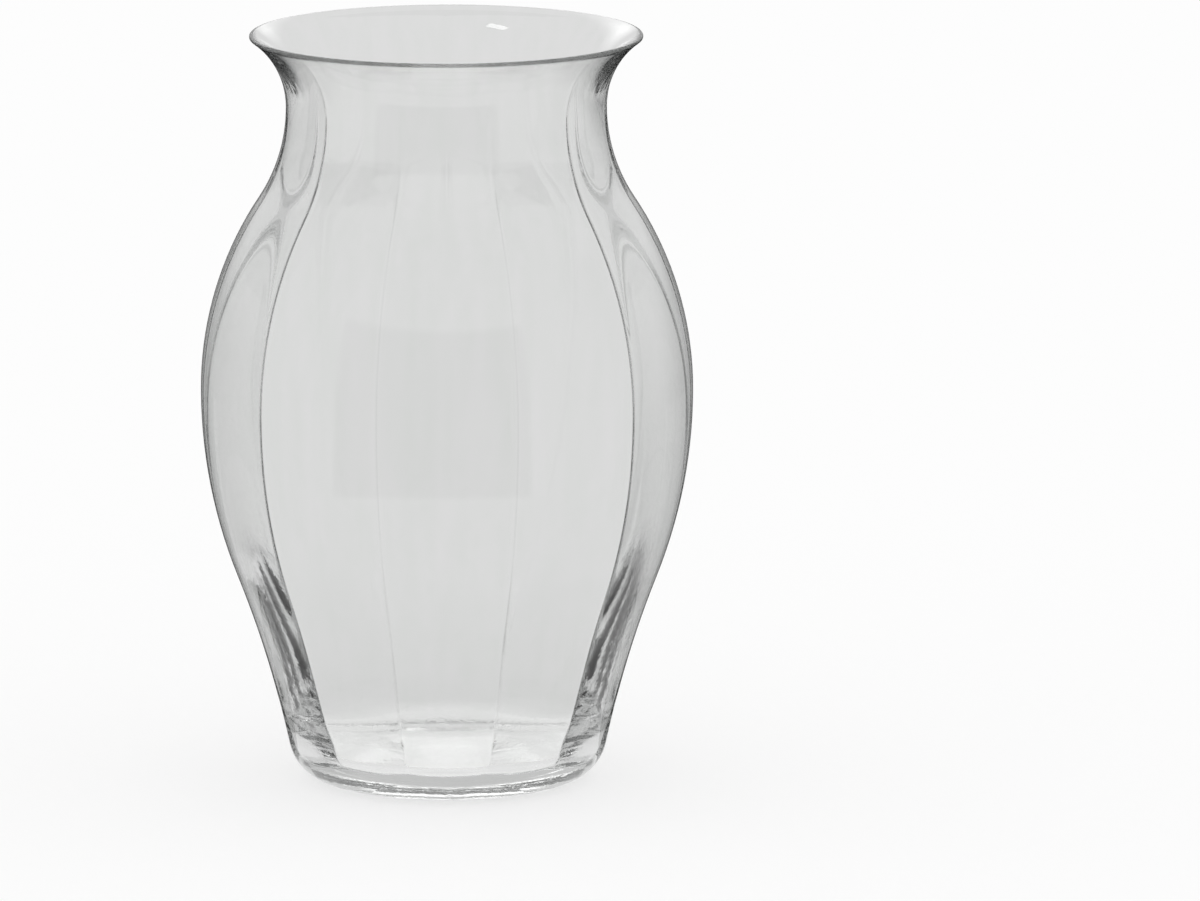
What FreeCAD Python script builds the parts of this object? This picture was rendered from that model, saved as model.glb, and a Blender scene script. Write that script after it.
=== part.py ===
"""Optic glass vase: a blown urn form with eleven flat panels pressed into its inside.

The outside is a plain surface of revolution whose outline follows one chain of tangent arcs: heel, foot, hip,
shoulder, neck, flare and lip. The inside is lofted through eleven-sided rings, so the wall is thin at each
crease and thick in the middle of each panel. Towards the lip the rings grow round and the creases fade out.
Outline and rings are drawn as short straight runs between points on their arcs, which keeps the facets few:
the corners of the runs lie on the real curve, and no run leaves it by more than 0.4 mm.
The whole vase is one gather of clear glass, so it is one body.
Lengths are millimetres, +Z is up, and the origin is the middle of the ring that the vase stands on.
"""

import FreeCAD, Part
import Sketcher
import math
import os

V = FreeCAD.Vector
UP = V(0, 0, 1)

# Driving sizes of the outside, lengths in millimetres
sizes = {
    "height": 250.0,
    "rim_radius": 65.0,
    "lip_radius": 1.1,
    "mouth_depth": 24.0,
    "waist_radius": 53.0,
    "neck_arc_radius": 57.0,
    "belly_height": 131.0,
    "belly_radius": 81.6,
    "hip_arc_radius": 170.0,
    "foot_arc_radius": 356.0,
    "heel_radius": 14.5,
    "ring_outer_radius": 38.6,
    "ring_inner_radius": 32.0,
    "punt_height": 1.8,
    # and of the inside: the wall is measured at the creases, where it is thinnest
    "base_thickness": 10.0,
    "corner_radius": 14.0,
    "lip_wall": 2.4,
    "body_wall": 2.9,
    "foot_wall": 4.0,
}
panel_count = 11

# Angles in degrees: where the first crease points, and how steeply the lip's round runs on to the inside
turns = {"crease_turn": 87.0, "lip_roll": 26.0}

# How flat a panel is: 0 follows the circle through its two creases, 1 is straight from crease to crease
lip_flat_share = 0.0
body_flat_share = 0.45
foot_flat_share = 0.85

# How many straight runs each arc is drawn in, from the foot's hollow up to the lip
run_counts = {"punt": 2, "heel": 3, "foot": 3, "hip": 4, "shoulder": 5, "neck": 4, "flare": 4, "lip": 4}
corner_runs = 4
panel_runs = 3

# The topmost lofted ring lies past the lip, so that the cut goes right through: this share of the flare's turn
past_lip_share = 1.12


def waist_level():
    return sizes["height"] - sizes["mouth_depth"]


def outline_arcs():
    """Centre, radius and end angles of each outline arc, worked out from how it touches the next one."""
    s = sizes
    arcs = {}
    # the hollow under the foot: a dome through the inner edge of the stand ring
    dome = (s["ring_inner_radius"] ** 2 + s["punt_height"] ** 2) / (2 * s["punt_height"])
    dome_centre = V(0, s["punt_height"] - dome, 0)
    dome_end = math.atan2(-dome_centre.y, s["ring_inner_radius"])
    arcs["punt"] = (dome_centre, dome, math.pi / 2, dome_end)
    # shoulder and neck: upright at belly and waist, so their radii add up to a value set by the two points
    fall = waist_level() - s["belly_height"]
    spread = s["belly_radius"] - s["waist_radius"]
    radii_sum = (spread ** 2 + fall ** 2) / (2 * spread)
    shoulder_radius = radii_sum - s["neck_arc_radius"]
    shoulder = V(s["belly_radius"] - shoulder_radius, s["belly_height"], 0)
    neck = V(s["waist_radius"] + s["neck_arc_radius"], waist_level(), 0)
    swing = math.atan2(neck.y - shoulder.y, neck.x - shoulder.x)
    arcs["shoulder"] = (shoulder, shoulder_radius, 0.0, swing)
    arcs["neck"] = (neck, s["neck_arc_radius"], math.pi + swing, math.pi)
    # flare and lip: upright at the waist, then around the lip and a little way down its inner side
    lip = V(s["rim_radius"] - s["lip_radius"], s["height"] - s["lip_radius"], 0)
    rise = lip.y - waist_level()
    reach = lip.x - s["waist_radius"]
    flare_radius = (reach ** 2 + rise ** 2 - s["lip_radius"] ** 2) / (2 * (reach + s["lip_radius"]))
    flare = V(s["waist_radius"] + flare_radius, waist_level(), 0)
    lean = math.atan2(lip.y - flare.y, lip.x - flare.x)
    arcs["flare"] = (flare, flare_radius, math.pi, lean)
    arcs["lip"] = (lip, s["lip_radius"], lean - math.pi, math.pi / 2 + math.radians(turns["lip_roll"]))
    # hip, foot and heel: the foot's centre is where circles about the other two centres cross
    hip = V(s["belly_radius"] - s["hip_arc_radius"], s["belly_height"], 0)
    heel = V(s["ring_outer_radius"], s["heel_radius"], 0)
    apart = heel - hip
    to_hip = s["hip_arc_radius"] + s["foot_arc_radius"]
    to_heel = s["heel_radius"] + s["foot_arc_radius"]
    along = (apart.Length ** 2 + to_hip ** 2 - to_heel ** 2) / (2 * apart.Length)
    across = math.sqrt(to_hip ** 2 - along ** 2)
    unit = apart * (1 / apart.Length)
    foot = hip + unit * along + V(-unit.y, unit.x, 0) * across
    hip_swing = math.atan2(foot.y - hip.y, foot.x - hip.x)
    heel_swing = math.atan2(foot.y - heel.y, foot.x - heel.x)
    arcs["hip"] = (hip, s["hip_arc_radius"], hip_swing, 0.0)
    arcs["foot"] = (foot, s["foot_arc_radius"], math.pi + heel_swing, math.pi + hip_swing)
    arcs["heel"] = (heel, s["heel_radius"], -math.pi / 2, heel_swing)
    return arcs


def on_arc(centre, radius, angle):
    return centre + V(math.cos(angle), math.sin(angle), 0) * radius


def ease(low, high, share):
    """From low to high as share goes from 0 to 1, level at both ends."""
    t = min(max(share, 0.0), 1.0)
    return low + (high - low) * t * t * (3 - 2 * t)


def wall_at(level):
    """Wall at the creases: thick at the foot, even over the body, thinner at the lip."""
    if level > waist_level():
        rise = (level - waist_level()) / sizes["mouth_depth"]
        return ease(sizes["body_wall"], sizes["lip_wall"], rise)
    return ease(sizes["foot_wall"], sizes["body_wall"], level / sizes["belly_height"])


def flat_at(level):
    """How flat the panels are: nearly flat at the foot, half flat over the body, round at the lip."""
    if level > sizes["belly_height"]:
        rise = (level - sizes["belly_height"]) / (sizes["height"] - sizes["belly_height"])
        return ease(body_flat_share, lip_flat_share, 2 * rise - 1)
    return ease(foot_flat_share, body_flat_share, level / sizes["belly_height"])


def inside_rings(arcs):
    """Crease radius and height of each lofted ring.

    The rings climb a round corner above the floor, then follow the outline, moved inwards by the wall at the
    end of each of its runs.
    """
    corner_top = sizes["base_thickness"] + sizes["corner_radius"]
    foot_centre, foot_radius = arcs["foot"][:2]
    outside = foot_centre.x - math.sqrt(foot_radius ** 2 - (corner_top - foot_centre.y) ** 2)
    middle = V(outside - sizes["foot_wall"] - sizes["corner_radius"], corner_top, 0)
    turn = math.pi / 2 / corner_runs
    rings = [on_arc(middle, sizes["corner_radius"], turn * k - math.pi / 2) for k in range(corner_runs + 1)]

    steps = [(name, k / run_counts[name]) for name in ("foot", "hip", "shoulder", "neck", "flare")
             for k in range(1, run_counts[name] + 1)]
    for name, share in steps + [("flare", past_lip_share)]:
        centre, arc_radius, first, last = arcs[name]
        place = on_arc(centre, arc_radius, first + (last - first) * share)
        side = 1 if name in ("foot", "neck", "flare") else -1
        rings.append(place + (place - centre) * (side * wall_at(place.y) / arc_radius))
    return [(ring.x, ring.y) for ring in rings]


def bow_radius(crease_radius, flat_share):
    """Radius of a panel's arc, from its chord and from how far it still bows out of that chord."""
    half_turn = math.pi / panel_count
    half_chord = crease_radius * math.sin(half_turn)
    bow = crease_radius * (1 - math.cos(half_turn)) * (1 - flat_share)
    return (half_chord ** 2 + bow ** 2) / (2 * bow)


def write_sizes(doc, rings):
    """The sheet: driving sizes first, then what each lofted ring takes from them."""
    sheet = doc.addObject("Spreadsheet::Sheet", "sizes")
    cells = {**sizes, **turns}
    for index, (radius, up) in enumerate(rings):
        cells[f"ring_{index}_radius"] = radius
        cells[f"ring_{index}_level"] = up
        cells[f"ring_{index}_bow"] = bow_radius(radius, flat_at(up))
    for row, (alias, value) in enumerate(cells.items(), start=1):
        sheet.set(f"A{row}", alias)
        sheet.set(f"B{row}", repr(value))
        sheet.setAlias(f"B{row}", alias)
    doc.recompute()
    return cells


def origin_plane(body, role):
    return next(f for f in body.Origin.OriginFeatures if f.Role == role)


def dimension(sketch, kind, *where, alias, minus=None):
    """A driving dimension whose value comes from one cell of the sheet, or from the difference of two."""
    formula = f"sizes.{alias}" if minus is None else f"sizes.{alias} - sizes.{minus}"
    value = sizes.get(alias, 0.0) - (sizes[minus] if minus else 0.0)
    label = alias if minus is None else f"{alias}_less_{minus}"
    index = sketch.addConstraint(Sketcher.Constraint(kind, *where, value))
    sketch.renameConstraint(index, f"{label}_{index}")
    sketch.setExpression(f"Constraints.{label}_{index}", formula)


def add_arc(sketch, centre, radius, first, last):
    """An arc as a construction line: end 1 is where its angle is smallest, end 2 where it is largest."""
    circle = Part.Circle(centre, UP, radius)
    return sketch.addGeometry(Part.ArcOfCircle(circle, min(first, last), max(first, last)), True)


def add_runs(sketch, arc, points, first_end, last_end):
    """Straight runs of equal length from one end of an arc to the other, their corners on the arc.

    Gives back the constraints that hold them there, for the sketch to take all at once.
    """
    made = sketch.addGeometry([Part.LineSegment(*ends) for ends in zip(points, points[1:])])
    ties = [Sketcher.Constraint("Coincident", made[0], 1, arc, first_end)]
    ties.append(Sketcher.Constraint("Coincident", made[-1], 2, arc, last_end))
    for run, following in zip(made, made[1:]):
        ties.append(Sketcher.Constraint("Coincident", run, 2, following, 1))
        ties.append(Sketcher.Constraint("PointOnObject", following, 1, arc))
        ties.append(Sketcher.Constraint("Equal", made[0], following))
    return ties


def outline_sketch(body, arcs):
    """Half of the outside as a closed outline on the XZ plane, ready to be turned about Z."""
    sketch = body.newObject("Sketcher::SketchObject", "outline")
    sketch.AttachmentSupport = [(origin_plane(body, "XZ_Plane"), "")]
    sketch.MapMode = "FlatFace"
    s = sizes
    ring_in = V(s["ring_inner_radius"], 0, 0)
    ring_out = V(s["ring_outer_radius"], 0, 0)
    lip_end = on_arc(*arcs["lip"][:2], arcs["lip"][3])
    mouth_middle = lip_end - V(lip_end.x, lip_end.x * math.tan(math.radians(turns["lip_roll"])), 0)

    made = {name: add_arc(sketch, *arc) for name, arc in arcs.items()}
    punt = made["punt"]
    stand = sketch.addGeometry(Part.LineSegment(ring_in, ring_out))
    mouth = sketch.addGeometry(Part.LineSegment(mouth_middle, lip_end))
    axis = sketch.addGeometry(Part.LineSegment(mouth_middle, V(0, s["punt_height"], 0)))

    # arcs that bend inwards run the other way, so their lower end is end 2
    order = ("heel", "foot", "hip", "shoulder", "neck", "flare", "lip")
    lower = {name: 1 for name in order}
    lower.update(foot=2, neck=2, flare=2)
    upper = {name: 3 - end for name, end in lower.items()}
    tie = sketch.addConstraint
    tie(Sketcher.Constraint("PointOnObject", punt, 2, -2))
    tie(Sketcher.Constraint("PointOnObject", punt, 3, -2))
    tie(Sketcher.Constraint("Coincident", punt, 1, stand, 1))
    tie(Sketcher.Constraint("PointOnObject", stand, 1, -1))
    tie(Sketcher.Constraint("PointOnObject", stand, 2, -1))
    tie(Sketcher.Constraint("Tangent", stand, 2, made["heel"], lower["heel"]))
    for below, above in zip(order, order[1:]):
        tie(Sketcher.Constraint("Tangent", made[below], upper[below], made[above], lower[above]))
    tie(Sketcher.Constraint("Tangent", made["lip"], upper["lip"], mouth, 2))
    tie(Sketcher.Constraint("Coincident", mouth, 1, axis, 1))
    tie(Sketcher.Constraint("Coincident", axis, 2, punt, 2))
    tie(Sketcher.Constraint("PointOnObject", axis, 1, -2))
    tie(Sketcher.Constraint("Horizontal", made["hip"], 3, made["shoulder"], 3))
    tie(Sketcher.Constraint("Horizontal", made["neck"], 3, made["flare"], 3))

    dimension(sketch, "DistanceY", -1, 1, punt, 2, alias="punt_height")
    dimension(sketch, "DistanceX", -1, 1, stand, 1, alias="ring_inner_radius")
    dimension(sketch, "DistanceX", -1, 1, stand, 2, alias="ring_outer_radius")
    dimension(sketch, "Radius", made["heel"], alias="heel_radius")
    dimension(sketch, "Radius", made["foot"], alias="foot_arc_radius")
    dimension(sketch, "Radius", made["hip"], alias="hip_arc_radius")
    dimension(sketch, "DistanceX", -1, 1, made["hip"], upper["hip"], alias="belly_radius")
    dimension(sketch, "DistanceY", -1, 1, made["hip"], upper["hip"], alias="belly_height")
    dimension(sketch, "Radius", made["neck"], alias="neck_arc_radius")
    dimension(sketch, "DistanceX", -1, 1, made["neck"], upper["neck"], alias="waist_radius")
    dimension(sketch, "DistanceY", -1, 1, made["neck"], upper["neck"], alias="height", minus="mouth_depth")
    dimension(sketch, "Radius", made["lip"], alias="lip_radius")
    dimension(sketch, "DistanceX", -1, 1, made["lip"], 3, alias="rim_radius", minus="lip_radius")
    dimension(sketch, "DistanceY", -1, 1, made["lip"], 3, alias="height", minus="lip_radius")
    roll = tie(Sketcher.Constraint("Angle", mouth, math.radians(turns["lip_roll"])))
    sketch.renameConstraint(roll, "lip_roll")
    sketch.setExpression("Constraints.lip_roll", "sizes.lip_roll")

    lower["punt"], upper["punt"] = 2, 1
    ties = []
    for name, (centre, radius, first, last) in arcs.items():
        angles = [first + (last - first) * k / run_counts[name] for k in range(run_counts[name] + 1)]
        points = [on_arc(centre, radius, angle) for angle in angles]
        ties += add_runs(sketch, made[name], points, lower[name], upper[name])
    sketch.addConstraint(ties)
    return sketch


def ring_sketch(body, index, cells):
    """One ring of the inside: creases on a circle, joined by panels whose corners lie on shallow arcs."""
    radius = cells[f"ring_{index}_radius"]
    bow = cells[f"ring_{index}_bow"]
    sketch = body.newObject("Sketcher::SketchObject", f"inside_ring_{index}")
    sketch.AttachmentSupport = [(origin_plane(body, "XY_Plane"), "")]
    sketch.MapMode = "FlatFace"
    level = V(0, 0, cells[f"ring_{index}_level"])
    sketch.AttachmentOffset = FreeCAD.Placement(level, FreeCAD.Rotation(UP, turns["crease_turn"]))
    sketch.setExpression("AttachmentOffset.Base.z", f"sizes.ring_{index}_level")
    sketch.setExpression("AttachmentOffset.Rotation.Angle", "sizes.crease_turn")

    step = 2 * math.pi / panel_count
    creases = [on_arc(V(0, 0, 0), radius, step * k) for k in range(panel_count)]
    middle_out = radius * math.cos(step / 2)
    bow_centre_out = middle_out - math.sqrt(bow ** 2 - (radius * math.sin(step / 2)) ** 2)
    half_arc = math.asin(radius * math.sin(step / 2) / bow)
    circle = sketch.addGeometry(Part.Circle(V(0, 0, 0), UP, radius), True)
    chords, panels = [], []
    for k in range(panel_count):
        facing = step * (k + 0.5)
        ends = (creases[k], creases[(k + 1) % panel_count])
        chords.append(sketch.addGeometry(Part.LineSegment(*ends), True))
        bow_centre = on_arc(V(0, 0, 0), bow_centre_out, facing)
        panels.append(add_arc(sketch, bow_centre, bow, facing - half_arc, facing + half_arc))
    ties = [Sketcher.Constraint("Coincident", circle, 3, -1, 1)]
    for k in range(panel_count):
        following = (k + 1) % panel_count
        ties.append(Sketcher.Constraint("Coincident", chords[k], 2, chords[following], 1))
        ties.append(Sketcher.Constraint("PointOnObject", chords[k], 1, circle))
        ties.append(Sketcher.Constraint("Coincident", panels[k], 1, chords[k], 1))
        ties.append(Sketcher.Constraint("Coincident", panels[k], 2, chords[k], 2))
        if k:
            ties.append(Sketcher.Constraint("Equal", chords[0], chords[k]))
            ties.append(Sketcher.Constraint("Equal", panels[0], panels[k]))
    ties.append(Sketcher.Constraint("PointOnObject", chords[0], 1, -1))
    for k, panel in enumerate(panels):
        bow_centre = on_arc(V(0, 0, 0), bow_centre_out, step * (k + 0.5))
        turned = [step * (k + 0.5) + half_arc * (2 * j / panel_runs - 1) for j in range(panel_runs + 1)]
        ties += add_runs(sketch, panel, [on_arc(bow_centre, bow, angle) for angle in turned], 1, 2)
    sketch.addConstraint(ties)
    for kind, geometry, value, word in (("Radius", circle, radius, "radius"), ("Radius", panels[0], bow, "bow")):
        index_made = sketch.addConstraint(Sketcher.Constraint(kind, geometry, value))
        sketch.renameConstraint(index_made, word)
        sketch.setExpression(f"Constraints.{word}", f"sizes.ring_{index}_{word}")
    return sketch


def glass_vase(doc, arcs, rings, cells):
    """The whole vase: the turned outside with the lofted inside cut out of it."""
    body = doc.addObject("PartDesign::Body", "glass_vase")
    body.Label = "glass_vase"
    outline = outline_sketch(body, arcs)
    doc.recompute()
    outside = body.newObject("PartDesign::Revolution", "outside")
    outside.Profile = outline
    outside.ReferenceAxis = (outline, ["V_Axis"])
    outside.Angle = 360
    doc.recompute()
    ring_sketches = [ring_sketch(body, index, cells) for index in range(len(rings))]
    doc.recompute()
    inside = body.newObject("PartDesign::SubtractiveLoft", "inside")
    inside.Profile = ring_sketches[0]
    inside.Sections = ring_sketches[1:]
    inside.Ruled = True
    body.Tip = inside
    doc.recompute()
    print("solid outside", round(outside.Shape.Volume), "mm3, with the inside cut out", round(inside.Shape.Volume))
    return body


def check(doc, parts):
    for thing in doc.Objects:
        if "Invalid" in thing.State or "Error" in thing.State:
            raise RuntimeError(f"{thing.Name} failed: {thing.State}")
    for part in parts:
        if part.Shape.isNull() or not part.Shape.isValid():
            raise RuntimeError(f"{part.Label} has no valid shape")


document = FreeCAD.newDocument("vase")
outline = outline_arcs()
inside = inside_rings(outline)
for radius, up in inside:
    print("ring radius", round(radius, 2), "level", round(up, 2), "flat", round(flat_at(up), 2))
cell_values = write_sizes(document, inside)
vase = glass_vase(document, outline, inside, cell_values)
document.recompute()
check(document, [vase])
os.makedirs("parts", exist_ok=True)
vase.Shape.exportStep(f"parts/{vase.Label}.step")
print(vase.Label, "written,", len(vase.Shape.Solids), "solid,", len(vase.Shape.Faces), "faces,", vase.Shape.BoundBox)
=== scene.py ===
# %% [markdown]
# This file dresses one clear glass vase, the kind a bunch of flowers stands in. On the real object a gather of
# glass is blown against a ribbed optic mould, so its outside ends smooth and round while its inside keeps
# eleven shallow upright panels. Clear glass has no colour of its own to paint: what the eye sees is the room,
# bent by the wall. So most of the work is in two things, the exact thickness of the wall, and what stands
# round the vase for it to bend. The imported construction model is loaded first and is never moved.

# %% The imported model
import math

import bpy
import numpy as np
from mathutils import Matrix, Vector


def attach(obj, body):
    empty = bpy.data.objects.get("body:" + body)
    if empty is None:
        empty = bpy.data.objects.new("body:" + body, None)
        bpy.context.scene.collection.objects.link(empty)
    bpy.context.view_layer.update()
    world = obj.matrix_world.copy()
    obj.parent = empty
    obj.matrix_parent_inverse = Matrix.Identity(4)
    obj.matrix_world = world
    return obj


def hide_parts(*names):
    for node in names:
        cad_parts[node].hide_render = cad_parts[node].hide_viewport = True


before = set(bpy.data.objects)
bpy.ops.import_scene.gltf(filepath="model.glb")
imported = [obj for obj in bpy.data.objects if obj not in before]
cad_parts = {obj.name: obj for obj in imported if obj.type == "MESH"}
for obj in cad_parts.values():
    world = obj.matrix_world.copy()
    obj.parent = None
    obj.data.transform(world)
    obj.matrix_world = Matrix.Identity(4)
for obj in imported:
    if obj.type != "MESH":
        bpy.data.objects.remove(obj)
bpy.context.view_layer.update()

MM = 0.001

# %% [markdown]
# The camera stands where the photographer's did. The mouth shows as a flat ellipse and the foot as a rounder
# one, and from the two the camera's height and distance follow: four metres away with a long lens, looking
# down about ten degrees. The vase stands left of the picture's middle, so the camera is turned a little to
# the right of it instead of being moved, which keeps the view of the vase itself straight on. It also stands
# three degrees round to the left, because that brings the creases of the glass to where the photograph has them.

# %% Camera
photo_width_px = 1200
axis_px = 444.5
lens_mm = 367.9
sensor_mm = 36.0
clip_end = 50.0
camera_distance = 4.0
camera_height = 0.8656
aim_height = 0.110
view_turn = math.radians(-3.0)


def make_camera():
    """Aims at the vase's axis, then turns about the upright by the angle a = atan((middle - axis) / focal length).

    The camera's place is turned round the vase's own axis by view_turn.
    """
    data = bpy.data.cameras.new("camera")
    data.lens = lens_mm
    data.sensor_width = sensor_mm
    data.clip_end = clip_end
    camera = bpy.data.objects.new("camera", data)
    bpy.context.scene.collection.objects.link(camera)
    camera.location = (0.0, -camera_distance, camera_height)
    focal_px = lens_mm / sensor_mm * photo_width_px
    turn = math.atan((photo_width_px / 2 - axis_px) / focal_px)
    camera.location.rotate(Matrix.Rotation(view_turn, 3, "Z"))
    look = Vector((0.0, 0.0, aim_height)) - camera.location
    look.rotate(Matrix.Rotation(-turn, 3, "Z"))
    camera.rotation_euler = look.to_track_quat("-Z", "Y").to_euler()
    bpy.context.scene.camera = camera
    return camera


camera = make_camera()
print("camera at", [round(c, 3) for c in camera.location], "lens", lens_mm, "mm")

# %% [markdown]
# Every material here is made of shader nodes. Two helpers are enough for all of them: one turns the hex colour
# that a designer would write into the linear values that the shaders work with, and one adds a node together
# with its settings and its links.

# %% Helpers for materials


def linear(hex_colour):
    """Linear red, green, blue and alpha of an sRGB hex colour such as '#d9dadb'.

    A channel c up to 0.04045 becomes c / 12.92, a brighter one ((c + 0.055) / 1.055)^2.4.
    """
    channels = [int(hex_colour[i:i + 2], 16) / 255 for i in (1, 3, 5)]
    return tuple(c / 12.92 if c <= 0.04045 else ((c + 0.055) / 1.055) ** 2.4 for c in channels) + (1.0,)


def add_node(tree, kind, settings=None, values=None, links=None):
    """Adds a node.

    Settings are its properties, values fill its sockets and links join its sockets to other nodes' outputs.
    """
    node = tree.nodes.new(kind)
    for name, value in (settings or {}).items():
        setattr(node, name, value)
    for name, value in (values or {}).items():
        node.inputs[name].default_value = value
    for name, output in (links or {}).items():
        tree.links.new(output, node.inputs[name])
    return node


def new_material(name):
    """An empty node material and its output node."""
    material = bpy.data.materials.new(name)
    material.use_nodes = True
    material.node_tree.nodes.clear()
    return material, add_node(material.node_tree, "ShaderNodeOutputMaterial")


print("helpers ready, for example white is", linear("#ffffff"))

# %% [markdown]
# The vase stands on white paper under an even white sky, which is also the light. Glass in an evenly white room
# has no outline at all. In the photograph everything seen through the glass is the same soft grey, through one
# wall as through two, so the grey isn't in the glass: it is grey paper that stood behind the vase, while the
# picture round the vase was whitened afterwards. So grey paper stands round the vase here too. Only rays that
# come out of the glass or off it meet that paper, and the camera sees the white sky past the vase.

# %% Sky and floor
floor_half = 12.0
floor_gap = 0.2 * MM
# tones of the paper as seen through the glass, painted light under the foot and painted shade round it,
# each with its distance from the vase's axis in metres
floor_painted_light_tones = ((0.0, "#dcdcdc"), (0.050, "#d6d6d6"), (0.080, "#c6c6c6"), (0.30, "#cccccc"), (1.2, "#cdcdcd"))
floor_painted_light_strength = 1.2
floor_paper = "#fdfdfd"
shadow_lift_share = 0.70


def grid_object(name, points, close_columns=True, first_pole=None, last_pole=None, material=None):
    """A mesh from an array of points, rows by columns by 3.

    Each cell of the grid is one four-sided face. With close_columns the last column joins the first one, and a
    pole closes the first or last row with a fan of triangles.
    """
    rows, columns, _ = points.shape
    wrap = columns if close_columns else columns - 1
    row = np.arange(rows - 1)[:, None]
    column = np.arange(wrap)[None, :]
    following = (column + 1) % columns
    low, high = row * columns, (row + 1) * columns
    cells = np.stack([low + column, low + following, high + following, high + column], axis=-1)
    faces = cells.reshape(-1, 4).tolist()
    vertices = points.reshape(-1, 3).tolist()
    ring = np.arange(columns)
    for pole, start, turned in ((first_pole, 0, True), (last_pole, (rows - 1) * columns, False)):
        if pole is not None:
            pair = [start + ring, start + (ring + 1) % columns]
            pair = pair[::-1] if turned else pair
            fan = np.stack([*pair, np.full(columns, len(vertices))], axis=-1)
            faces += fan.tolist()
            vertices.append(list(pole))
    mesh = bpy.data.meshes.new(name)
    mesh.from_pydata(vertices, [], faces)
    mesh.polygons.foreach_set("use_smooth", np.ones(len(faces), bool))
    mesh.update()
    made = bpy.data.objects.new(name, mesh)
    bpy.context.scene.collection.objects.link(made)
    if material:
        mesh.materials.append(material)
    return made


def white_sky():
    """A plain white world of strength 1, which is also the light."""
    world = bpy.data.worlds.new("white_sky")
    bpy.context.scene.world = world
    world.use_nodes = True
    world.node_tree.nodes["Background"].inputs["Color"].default_value = linear("#ffffff")
    world.node_tree.nodes["Background"].inputs["Strength"].default_value = 1.0


def matt_white_paper():
    """Matt white paper under the vase.

    The camera sees it with the vase's shadow, lifted a little. Rays that come out of the glass or off it see it
    as pale grey with painted light and shade: brighter under the foot, darker round it.
    """
    material, output = new_material("matt_white_paper")
    tree = material.node_tree
    matt = add_node(tree, "ShaderNodeBsdfDiffuse", values={"Color": linear(floor_paper)})
    white = add_node(tree, "ShaderNodeEmission", values={"Color": linear(floor_paper), "Strength": 1.0})
    place = add_node(tree, "ShaderNodeTexCoord")
    reach = add_node(tree, "ShaderNodeVectorMath", {"operation": "LENGTH"}, links={0: place.outputs["Object"]})
    # painted light and shade: a tone ramp by distance from the axis, lighter under the foot and darker round it
    farthest = floor_painted_light_tones[-1][0]
    share = add_node(tree, "ShaderNodeMath", {"operation": "DIVIDE"}, {1: farthest}, {0: reach.outputs["Value"]})
    tone = add_node(tree, "ShaderNodeValToRGB", links={"Fac": share.outputs[0]})
    stops = tone.color_ramp.elements
    while len(stops) < len(floor_painted_light_tones):
        stops.new(0.5)
    for stop, (distance, hex_colour) in zip(stops, floor_painted_light_tones):
        stop.position = distance / farthest
        stop.color = linear(hex_colour)
    painted_floor_light = add_node(tree, "ShaderNodeEmission", values={"Strength": floor_painted_light_strength},
                    links={"Color": tone.outputs["Color"]})
    path = add_node(tree, "ShaderNodeLightPath")
    through = add_node(tree, "ShaderNodeMath", {"operation": "MAXIMUM"},
                       links={0: path.outputs["Is Transmission Ray"], 1: path.outputs["Is Glossy Ray"]})
    seen = add_node(tree, "ShaderNodeMixShader", values={"Fac": shadow_lift_share},
                    links={1: matt.outputs[0], 2: white.outputs[0]})
    mixed = add_node(tree, "ShaderNodeMixShader",
                     links={"Fac": through.outputs[0], 1: seen.outputs[0], 2: painted_floor_light.outputs[0]})
    tree.links.new(mixed.outputs[0], output.inputs["Surface"])
    return material


white_sky()
corners = floor_half * np.array([[[-1, -1, 0], [1, -1, 0]], [[-1, 1, 0], [1, 1, 0]]], float)
corners[..., 2] = -floor_gap
floor = grid_object("floor", corners, close_columns=False, material=matt_white_paper())
print("floor", 2 * floor_half, "m wide under a white sky")

# %% [markdown]
# A photographer shapes glass with cards. A card behind the side of the vase is bent by the thick wall into a
# dark line, a card in front of it is mirrored as a faint square on the belly, and a small lamp above the
# photographer makes the one bright spot inside the mouth. Three kinds of card stand here. The two at the sides
# are seen by all rays that come out of the glass. Two are met only by rays that glance off the outside, so that
# they darken the outline and mirror the square without showing through the body. The two that lie on the floor
# are met only by rays that the glass has turned back at least once, because it is such rays that make the dark
# streaks low on its sides.

# %% Grey backdrop, dark cards and a soft light
backdrop_radius = 1.6
backdrop_height = 2.2
backdrop_top_hole = 0.01
backdrop_columns = 96
backdrop_tone = "#dadada"
vase_middle = 0.125
card_columns = 48
card_lift = 0.4 * MM
card_near_fade = 0.02
# place beside the vase's axis in metres that the card bends round, first and last bearing in degrees clockwise
# from straight behind it, where the card starts on the floor and where it stands up in metres from there, the
# height of its top in metres, the share of its width over which its edges are soft, and its tone
card_places = {
    "card_right": (0.0, 22.0, 70.0, 0.14, 0.80, 0.330, 0.45, "#6c6c6c"),
    "card_left": (0.0, -94.0, -44.0, 0.20, 0.80, 0.295, 0.30, "#b4b4b4"),
    "card_low_left": (-0.055, -52.0, -8.0, 0.005, 0.125, 0.002, 0.05, "#040404"),
    "card_low_right": (0.055, 8.0, 52.0, 0.005, 0.125, 0.002, 0.05, "#040404"),
    "card_front": (0.0, 142.0, 232.0, 0.30, 0.80, 0.485, 0.04, "#000000"),
    "card_outline": (0.0, -62.0, 62.0, 0.12, 0.80, 0.295, 0.25, "#181818"),
}
glancing_only = ("card_front", "card_outline")
mirrored_only = ("card_low_left", "card_low_right")
lamp_centre = (-0.37, -0.15, 1.20)
lamp_size = (0.17, 0.09)
lamp_strength = 6.0
# first and last bearing, lowest and highest angle above the vase's middle, all in degrees
light_place = (-38.0, 30.0, 16.0, 62.0)
light_distance = 1.4
light_rows = 6
light_soft_share = 0.2
light_strength = 1.9


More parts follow.
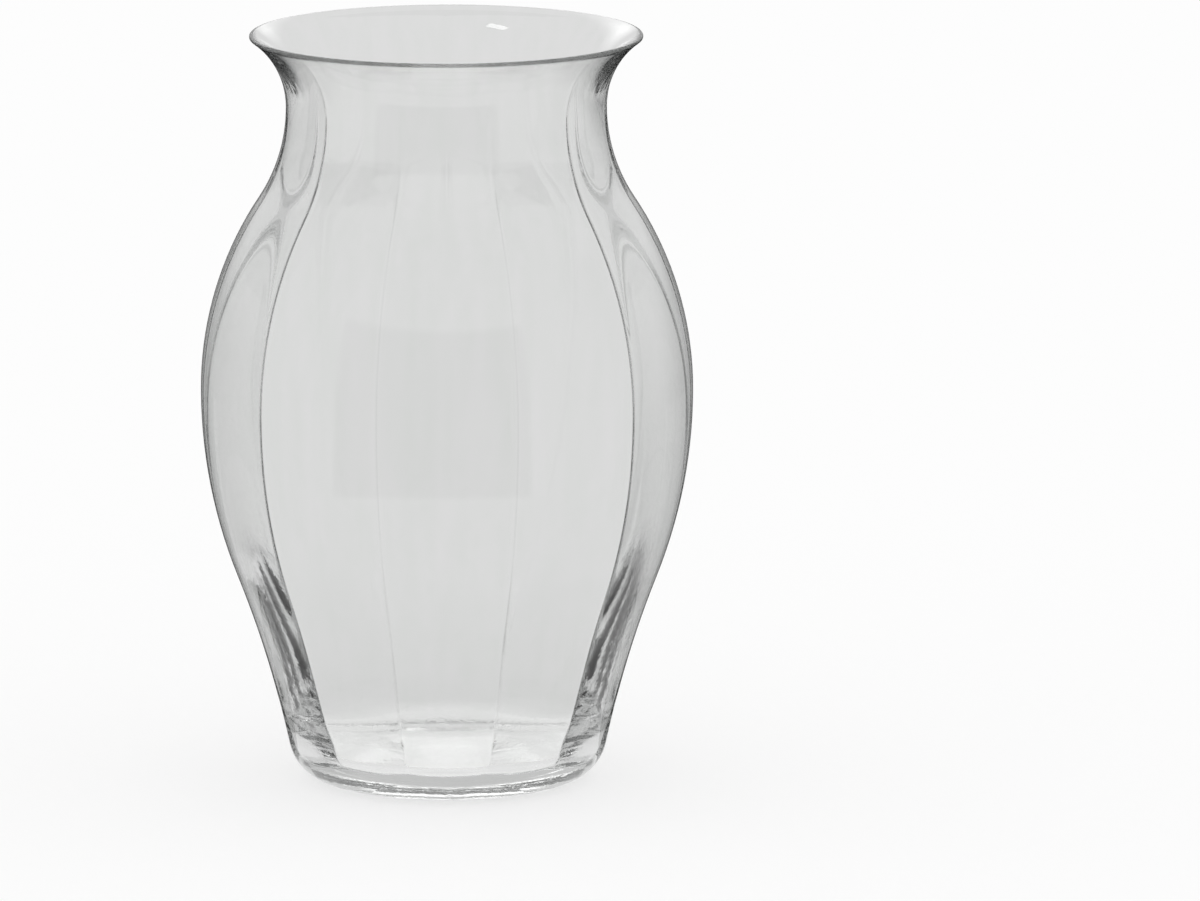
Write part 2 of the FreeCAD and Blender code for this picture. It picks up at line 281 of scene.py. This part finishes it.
def plain_card(name, hex_colour, strength=1.0, mirrored=False):
    """Card of one even tone: it gives out its own colour, so that nothing round it can change it.

    The attribute cover is 1 inside the card and falls to 0 at its edges, where what lies behind shows through.
    A mirrored card is met only by rays that the glass has turned back at least once.
    """
    material, output = new_material(name)
    tree = material.node_tree
    tone = add_node(tree, "ShaderNodeEmission", values={"Color": linear(hex_colour), "Strength": strength})
    clear = add_node(tree, "ShaderNodeBsdfTransparent")
    cover = add_node(tree, "ShaderNodeAttribute", {"attribute_name": "cover"}).outputs["Fac"]
    if mirrored:
        path = add_node(tree, "ShaderNodeLightPath")
        turns = add_node(tree, "ShaderNodeMath", {"operation": "MINIMUM"}, {1: 1.0},
                         {0: path.outputs["Glossy Depth"]})
        gated = add_node(tree, "ShaderNodeMath", {"operation": "MULTIPLY"}, links={0: cover, 1: turns.outputs[0]})
        cover = gated.outputs[0]
    mixed = add_node(tree, "ShaderNodeMixShader", links={"Fac": cover, 1: clear.outputs[0], 2: tone.outputs[0]})
    tree.links.new(mixed.outputs[0], output.inputs["Surface"])
    return material


def set_cover(thing, cover):
    """Stores one number a vertex as the attribute cover."""
    thing.data.attributes.new("cover", "FLOAT", "POINT").data.foreach_set("value", cover.astype(np.float32).ravel())


def behind_glass_only(thing):
    """Shows a thing to rays that come out of the glass or off it, and to nothing else.

    It is turned round the vase with the camera, so that it stays where the photograph's camera had it.
    """
    thing.visible_camera = False
    thing.visible_shadow = False
    thing.visible_diffuse = False
    thing.rotation_euler.z = view_turn


def bent_card(name, aside, first, last, rows, soft_share, material):
    """A card bent round an upright at x = aside: x = aside + d sin(b), y = d cos(b), with b the bearing.

    There is a row for each pair of d and z. The card fades out over soft_share of its width at both sides.
    """
    bearing = np.radians(np.linspace(first, last, card_columns))
    points = [np.stack([aside + d * np.sin(bearing), d * np.cos(bearing), np.full(card_columns, z)], -1)
              for d, z in rows]
    card = grid_object(name, np.stack(points), close_columns=False, material=material)
    share = np.linspace(0.0, 1.0, card_columns)
    across = np.clip(np.minimum(share, 1 - share) / soft_share, 0, 1)
    along = np.ones(len(rows))
    along[[0, -1]] = 0
    set_cover(card, along[:, None] * across[None, :])
    behind_glass_only(card)
    return card


def dark_card(name, aside, first, last, start, stand, top, soft_share, hex_colour):
    """Dark card that lies on the floor, then stands up: it darkens all that the glass sees between two angles."""
    rows = [(start, card_lift), (start + card_near_fade, card_lift), (stand, card_lift),
            (stand, top * (1 - 2 * soft_share)), (stand, top)]
    material = plain_card("matt_" + name, hex_colour, mirrored=name in mirrored_only)
    return bent_card(name, aside, first, last, rows, soft_share, material)


def soft_light():
    """Soft white light above and behind the vase, part of a ball: d = D cos(e), z = middle + D sin(e)."""
    first, last, low, high = light_place
    angle = np.radians(np.linspace(low, high, light_rows))
    rows = [(light_distance * math.cos(a), vase_middle + light_distance * math.sin(a)) for a in angle]
    material = plain_card("soft_white_light", "#ffffff", light_strength)
    bent_card("soft_light", 0.0, first, last, rows, light_soft_share, material)


def small_lamp():
    """Small lamp above the photographer: it is met only by rays that glance off the glass, as a spot in the mouth."""
    x, y, z = lamp_centre
    half = np.array(lamp_size) / 2
    places = np.array([[[x + i * half[0], y + j * half[1], z] for i in (-1, 1)] for j in (-1, 1)])
    lamp = grid_object("card_lamp", places, close_columns=False,
                       material=plain_card("lamp_glow", "#ffffff", lamp_strength))
    set_cover(lamp, np.ones(len(lamp.data.vertices)))
    behind_glass_only(lamp)
    lamp.visible_transmission = False


def round_backdrop():
    """Paper bent into a cylinder round the vase and closed above: x = r cos(a), y = r sin(a), from the floor up."""
    turn = np.arange(backdrop_columns) / backdrop_columns * 2 * math.pi
    rows = [np.stack([r * np.cos(turn), r * np.sin(turn), np.full(backdrop_columns, z)], -1)
            for r, z in ((backdrop_radius, 0.0), (backdrop_radius, backdrop_height),
                         (backdrop_top_hole, backdrop_height))]
    backdrop = grid_object("backdrop", np.stack(rows), material=plain_card("grey_backdrop_paper", backdrop_tone))
    set_cover(backdrop, np.ones(len(rows) * backdrop_columns))
    behind_glass_only(backdrop)


round_backdrop()
soft_light()
small_lamp()
for card_name, place in card_places.items():
    card = dark_card(card_name, *place)
    card.visible_transmission = card_name not in glancing_only
print(len(card_places), "dark cards,", len(glancing_only), "of them met only by glancing rays and",
      len(mirrored_only), "only by mirrored ones")
print("soft light of strength", light_strength, "and a lamp of strength", lamp_strength)

# %% [markdown]
# The outside of the vase is a surface of revolution. Seen from the side it is one chain of arcs that run into
# each other without a corner: heel, foot, hip, shoulder, neck, flare and lip. Two arcs that touch have their
# centres in line with the point of touch, and that one fact gives every centre and every angle from a handful
# of sizes that could be taken off the real vase with a rule.

# %% Outline of the outside
height = 250.0 * MM
rim_radius = 65.0 * MM
lip_radius = 0.75 * MM
waist_height = 226.0 * MM
waist_radius = 53.0 * MM
neck_arc_radius = 57.0 * MM
belly_height = 131.0 * MM
belly_radius = 81.6 * MM
hip_arc_radius = 170.0 * MM
foot_arc_radius = 356.0 * MM
heel_radius = 14.5 * MM
ring_outer_radius = 38.6 * MM
ring_inner_radius = 32.0 * MM
punt_height = 1.8 * MM


def outline_arcs():
    """Centre, radius and end angles of each arc, from the foot up.

    Shoulder and neck are both upright at their widest and narrowest point, so their radii add up to a value
    set by those two points. The foot's centre is where two circles cross, one about the hip's centre and one
    about the heel's.
    """
    arcs = {}
    fall, spread = waist_height - belly_height, belly_radius - waist_radius
    shoulder_radius = (spread ** 2 + fall ** 2) / (2 * spread) - neck_arc_radius
    shoulder = np.array([belly_radius - shoulder_radius, belly_height])
    neck = np.array([waist_radius + neck_arc_radius, waist_height])
    swing = math.atan2(*(neck - shoulder)[::-1])
    lip = np.array([rim_radius - lip_radius, height - lip_radius])
    rise, reach = lip[1] - waist_height, lip[0] - waist_radius
    flare_radius = (reach ** 2 + rise ** 2 - lip_radius ** 2) / (2 * (reach + lip_radius))
    flare = np.array([waist_radius + flare_radius, waist_height])
    lean = math.atan2(*(lip - flare)[::-1])
    hip = np.array([belly_radius - hip_arc_radius, belly_height])
    heel = np.array([ring_outer_radius, heel_radius])
    apart = heel - hip
    gap = np.hypot(*apart)
    to_hip, to_heel = hip_arc_radius + foot_arc_radius, heel_radius + foot_arc_radius
    along = (gap ** 2 + to_hip ** 2 - to_heel ** 2) / (2 * gap)
    across = math.sqrt(to_hip ** 2 - along ** 2)
    unit = apart / gap
    foot = hip + unit * along + np.array([-unit[1], unit[0]]) * across
    hip_swing = math.atan2(*(foot - hip)[::-1])
    heel_swing = math.atan2(*(foot - heel)[::-1])
    arcs["heel"] = (heel, heel_radius, -math.pi / 2, heel_swing)
    arcs["foot"] = (foot, foot_arc_radius, math.pi + heel_swing, math.pi + hip_swing)
    arcs["hip"] = (hip, hip_arc_radius, hip_swing, 0.0)
    arcs["shoulder"] = (shoulder, shoulder_radius, 0.0, swing)
    arcs["neck"] = (neck, neck_arc_radius, math.pi + swing, math.pi)
    arcs["flare"] = (flare, flare_radius, math.pi, lean)
    arcs["lip"] = (lip, lip_radius, lean - math.pi, math.pi / 2)
    return arcs


def along_arc(arc, shares):
    """Points of an arc and the unit directions from its centre, at the given shares of its turn."""
    centre, radius, first, last = arc
    angle = first + (last - first) * shares
    outward = np.stack([np.cos(angle), np.sin(angle)], axis=-1)
    return centre + radius * outward, outward


arcs = outline_arcs()
for name, (centre, radius, first, last) in arcs.items():
    print(name, "radius", round(radius / MM, 1), "mm, turns", round(math.degrees(abs(last - first)), 1), "degrees")

# %% [markdown]
# The inside follows the outside at the distance of the wall. The mould's ribs left a crease eleven times round,
# where the wall is thinnest, and between two creases the glass is flatter than a circle, so it is thickest in
# the middle of each panel. Low on the body the panels are nearly flat. Towards the lip they fade out, because
# the lip was opened by spinning after the mould was taken off. A hair-fine groove in each crease, no deeper than
# a third of a millimetre, draws the thin upright lines that the photograph shows near both sides.

# %% Thickness of the wall
panel_count = 11
crease_turn = math.radians(87.0)
crease_softness = math.radians(1.0)
base_thickness = 10.0 * MM
corner_width = 10.0 * MM
corner_height = 30.0 * MM
lip_wall = 1.5 * MM
body_wall = 2.9 * MM
foot_wall = 4.0 * MM
lip_flat_share = 0.0
body_flat_share = 0.36
foot_flat_share = 0.96
flat_foot_height = 95.0 * MM
groove_depth = 0.30 * MM
groove_width = 0.8 * MM
groove_fade = 45.0 * MM
straightest = 0.999


def ease(share):
    """Goes from 0 to 1 with share, level at both ends: 3 s^2 - 2 s^3."""
    s = np.clip(share, 0.0, 1.0)
    return s * s * (3 - 2 * s)


def wall_at(level):
    """Wall at the creases for each height: thick at the foot, even over the body, thinner at the lip."""
    low = foot_wall + (body_wall - foot_wall) * ease(level / belly_height)
    high = body_wall + (lip_wall - body_wall) * ease((level - waist_height) / (height - waist_height))
    return np.where(level > waist_height, high, low)


def flat_at(level):
    """How flat a panel is at each height: 0 is round, 1 is straight from crease to crease."""
    low = foot_flat_share + (body_flat_share - foot_flat_share) * ease(level / flat_foot_height)
    rise = (level - belly_height) / (height - belly_height)
    high = body_flat_share + (lip_flat_share - body_flat_share) * ease(2 * rise - 1)
    return np.where(level > belly_height, high, low)


def panelled(crease_radius, level, bearing):
    """Distance of the inside from the axis, rows by columns.

    A panel is an arc of radius b through its two creases. Its centre lies at distance c from the axis, so
    r = c cos(a) + sqrt(b^2 - c^2 sin(a)^2), with a the angle from the panel's middle. The angle from the
    crease is softened, sqrt(s^2 + e^2) - e, which rounds the crease as fire does. The rib of the mould also cut
    a hair-fine groove, g exp(-(t/w)^2) at the distance t from the crease, which fades towards lip and floor.
    """
    half = math.pi / panel_count
    angle = np.mod(bearing - crease_turn, 2 * half) - half
    off_crease = crease_radius[:, None] * (half - np.abs(angle))[None, :]
    depth = groove_depth * ease((height - level) / groove_fade) * ease(level / groove_fade)
    groove = depth[:, None] * np.exp(-(off_crease / groove_width) ** 2)
    span = math.hypot(half, crease_softness) - crease_softness
    from_crease = (np.hypot(half - np.abs(angle), crease_softness) - crease_softness) / span
    angle = half * (1 - from_crease)[None, :]
    chord = (crease_radius * math.sin(half))[:, None]
    bow = (crease_radius * (1 - math.cos(half)) * (1 - straightest * flat_at(level)))[:, None]
    bend = (chord ** 2 + bow ** 2) / (2 * bow)
    centre = crease_radius[:, None] * math.cos(half) - np.sqrt(bend ** 2 - chord ** 2)
    return centre * np.cos(angle) + np.sqrt(bend ** 2 - (centre * np.sin(angle)) ** 2) + groove


for level in (30 * MM, belly_height, waist_height, height - 2 * MM):
    print("height", round(level / MM), "mm: wall", round(float(wall_at(np.array(level))) / MM, 2), "mm")

# %% [markdown]
# One grid of points covers the whole skin of the glass: it starts under the foot, climbs the outside, rolls over
# the lip and comes down the inside to the floor, where a fan of triangles closes it. Its columns crowd towards
# the creases, where the surface turns quickest. A closed skin with every face looking out of the glass is what
# lets a ray of light know whether it is inside the glass or outside, and so how far it has travelled in it. The
# glass swallows a little light on the way, which makes the rim and the outline grey and leaves the walls clear.

# %% The glass body
columns_per_panel = 38
column_crowding = 0.84
arc_rows = {"heel": 10, "foot": 12, "hip": 14, "shoulder": 18, "neck": 14, "flare": 15, "lip": 8}
punt_rows = 6
ring_rows = 2
floor_rows = 6
corner_rows = 36
corner_wave = 0.22 * MM
corner_waves = 2.5
crease_rise = 0.5 * MM
first_ring_share = 0.06
corner_clearance = 0.5 * MM
ripple_scale = 330.0
ripple_lift = 0.03 * MM
ripple_top = 110.0 * MM
ripple_growth = 1.6
cord_scale = (190.0, 190.0, 5.0)
cord_span = (0.35, 0.65)
cord_tones = ("#fcfdfc", "#ffffff")
glass_depth_colour = "#404844"
glass_density = 2.8


def column_bearings():
    """Bearings of the grid's columns: even steps s, pushed towards both creases as s - k sin(2 pi s) / (2 pi)."""
    step = np.arange(columns_per_panel) / columns_per_panel
    step = step - column_crowding * np.sin(2 * math.pi * step) / (2 * math.pi)
    panel = np.arange(panel_count)[:, None]
    return (crease_turn + 2 * math.pi / panel_count * (panel + step[None, :])).ravel()


def outside_profile():
    """Radius and height down the middle of the foot, out along the stand ring and up the outside to the lip's top."""
    punt_share = np.linspace(first_ring_share, 1.0, punt_rows, endpoint=False)
    pieces = [np.stack([ring_inner_radius * punt_share, punt_height * (1 - punt_share ** 2)], -1)]
    ring_share = np.linspace(0.0, 1.0, ring_rows, endpoint=False)
    ring = ring_inner_radius + (ring_outer_radius - ring_inner_radius) * ring_share
    pieces.append(np.stack([ring, np.zeros(ring_rows)], -1))
    for name, arc in arcs.items():
        pieces.append(along_arc(arc, np.linspace(0.0, 1.0, arc_rows[name], endpoint=False))[0])
    return np.concatenate(pieces)


def inside_profile():
    """Crease radius and height of the inside, from the lip's top down to the edge of the floor."""
    lip_centre = arcs["lip"][0]
    pieces = []
    for name in ("flare", "neck", "shoulder", "hip", "foot"):
        rows = arc_rows[name]
        on_outside, outward = along_arc(arcs[name], np.linspace(1.0, 0.0, rows, endpoint=False))
        inward = outward if name in ("flare", "neck", "foot") else -outward
        pieces.append(on_outside + inward * wall_at(on_outside[:, 1])[:, None])
    wall = np.concatenate(pieces)
    # a quarter of an ellipse, taller than wide, leads from the wall into the floor
    corner_top = base_thickness + corner_height
    wall = wall[wall[:, 1] > corner_top + corner_clearance]
    foot_centre, foot_radius = arcs["foot"][:2]
    angle = np.linspace(math.pi / 2, 0.0, corner_rows)
    rise = corner_top - corner_height * np.cos(angle)
    outside = foot_centre[0] - np.sqrt(foot_radius ** 2 - (np.maximum(rise, heel_radius) - foot_centre[1]) ** 2)
    # tool marks: shallow rings that run round the corner and fade out at both ends of it
    share = np.linspace(0.0, 1.0, corner_rows)
    waves = corner_wave * np.sin(2 * math.pi * corner_waves * share) * np.sin(math.pi * share)
    corner = np.stack([outside - foot_wall - corner_width * (1 - np.sin(angle)) - waves, rise], -1)
    # the lip's round runs on to the inside, down to the first row of the wall
    first = wall[0] - lip_centre
    end = math.atan2(first[1], first[0])
    turn = np.linspace(math.pi / 2, end, arc_rows["lip"], endpoint=False)
    reach = np.linspace(lip_radius, np.hypot(*first), arc_rows["lip"], endpoint=False)
    lip = lip_centre + reach[:, None] * np.stack([np.cos(turn), np.sin(turn)], -1)
    return np.concatenate([lip, wall, corner])


def glass_skin():
    """All rows of the grid as one array, rows by columns by 3, and how many rows belong to the outside."""
    bearing = column_bearings()
    outside = outside_profile()
    inside = inside_profile()
    radius_out = np.repeat(outside[:, :1], len(bearing), axis=1)
    radius_in = panelled(inside[:, 0], inside[:, 1], bearing)
    shrink = np.linspace(1.0, first_ring_share, floor_rows + 1)[1:, None]
    radius_floor = radius_in[-1:] * shrink
    radius = np.concatenate([radius_out, radius_in, radius_floor])
    level = np.concatenate([outside[:, 1], inside[:, 1], np.full(floor_rows, base_thickness)])[:, None]
    # glass ran together in the creases near the floor, so the corner is higher there
    gathered = np.zeros(len(level))
    gathered[-floor_rows - corner_rows:-floor_rows] = np.sin(np.linspace(0.0, 0.5 * math.pi, corner_rows))
    gathered[-floor_rows:] = np.linspace(1.0, 0.0, floor_rows + 1)[1:] ** 3
    half = math.pi / panel_count
    from_crease = 1 - np.abs(np.mod(bearing - crease_turn, 2 * half) - half) / half
    level = level + crease_rise * gathered[:, None] * ((1 - from_crease) ** 2)[None, :]
    points = np.stack([radius * np.cos(bearing), radius * np.sin(bearing), level], axis=-1)
    return points, len(outside)


def clear_soda_lime_glass():
    """Clear soda-lime glass, fire-polished: no scattering and IOR 1.5.

    Its colour comes from how far light travels in it: exp(-k d) is left after a distance d, so that a wall is
    clear and an edge is grey. Upright cords, where the melt wasn't quite even, change the tone by a hair. The
    attribute ripple says where the skin is wrinkled from the cool mould. Fine noise lifts it there.
    """
    material, output = new_material("clear_soda_lime_glass")
    tree = material.node_tree
    place = add_node(tree, "ShaderNodeTexCoord")
    wrinkles = add_node(tree, "ShaderNodeTexNoise", links={"Vector": place.outputs["Object"]},
                        values={"Scale": ripple_scale, "Detail": 2.0, "Roughness": 0.5, "Distortion": 1.5})
    where = add_node(tree, "ShaderNodeAttribute", {"attribute_name": "ripple"})
    lift = add_node(tree, "ShaderNodeBump", values={"Distance": ripple_lift},
                    links={"Height": wrinkles.outputs["Fac"], "Strength": where.outputs["Fac"]})
    drawn = add_node(tree, "ShaderNodeMapping", values={"Scale": cord_scale},
                     links={"Vector": place.outputs["Object"]})
    cords = add_node(tree, "ShaderNodeTexNoise", values={"Scale": 1.0, "Detail": 3.0, "Roughness": 0.55},
                     links={"Vector": drawn.outputs["Vector"]})
    spread = add_node(tree, "ShaderNodeMapRange", values={"From Min": cord_span[0], "From Max": cord_span[1]},
                      links={"Value": cords.outputs["Fac"]})
    tone = add_node(tree, "ShaderNodeMix", {"data_type": "RGBA"},
                    {6: linear(cord_tones[0]), 7: linear(cord_tones[1])}, {0: spread.outputs[0]})
    glass = add_node(tree, "ShaderNodeBsdfPrincipled", values={
        "Roughness": 0.0,
        "IOR": 1.5,
        "Transmission Weight": 1.0,
    }, links={"Normal": lift.outputs["Normal"], "Base Color": tone.outputs[2]})
    depth = add_node(tree, "ShaderNodeVolumeAbsorption",
                     values={"Color": linear(glass_depth_colour), "Density": glass_density})
    tree.links.new(glass.outputs[0], output.inputs["Surface"])
    tree.links.new(depth.outputs[0], output.inputs["Volume"])
    return material


skin, outside_rows = glass_skin()
glass_material = clear_soda_lime_glass()
vase = grid_object("vase_glass", skin, first_pole=(0, 0, punt_height), last_pole=(0, 0, base_thickness),
                   material=glass_material)
row_level = np.repeat(skin[:, :1, 2], skin.shape[1], axis=1)
ripple = ease(ripple_growth * (1 - row_level / ripple_top)) * (np.arange(len(skin)) >= outside_rows)[:, None]
ripple_store = vase.data.attributes.new("ripple", "FLOAT", "POINT")
ripple_store.data.foreach_set("value", np.concatenate([ripple.ravel(), [0.0, 0.0]]).astype(np.float32))
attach(vase, "root")
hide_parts("glass_vase")
print("vase grid", skin.shape[0], "rows by", skin.shape[1], "columns,", outside_rows, "rows outside")

# %% [markdown]
# Light that enters the thick base is turned back and forth in it many times before it leaves. A ray that is
# given up on the way is black, so the limits on bounces are set high. Colours are shown as they are, with the
# Standard view.

# %% Light through many walls
bounces = 64
bpy.context.scene.view_settings.view_transform = "Standard"
bpy.context.scene.cycles.max_bounces = bounces
bpy.context.scene.cycles.transmission_bounces = bounces
bpy.context.scene.cycles.glossy_bounces = bounces
print("rays may pass", bpy.context.scene.cycles.transmission_bounces, "walls of glass")
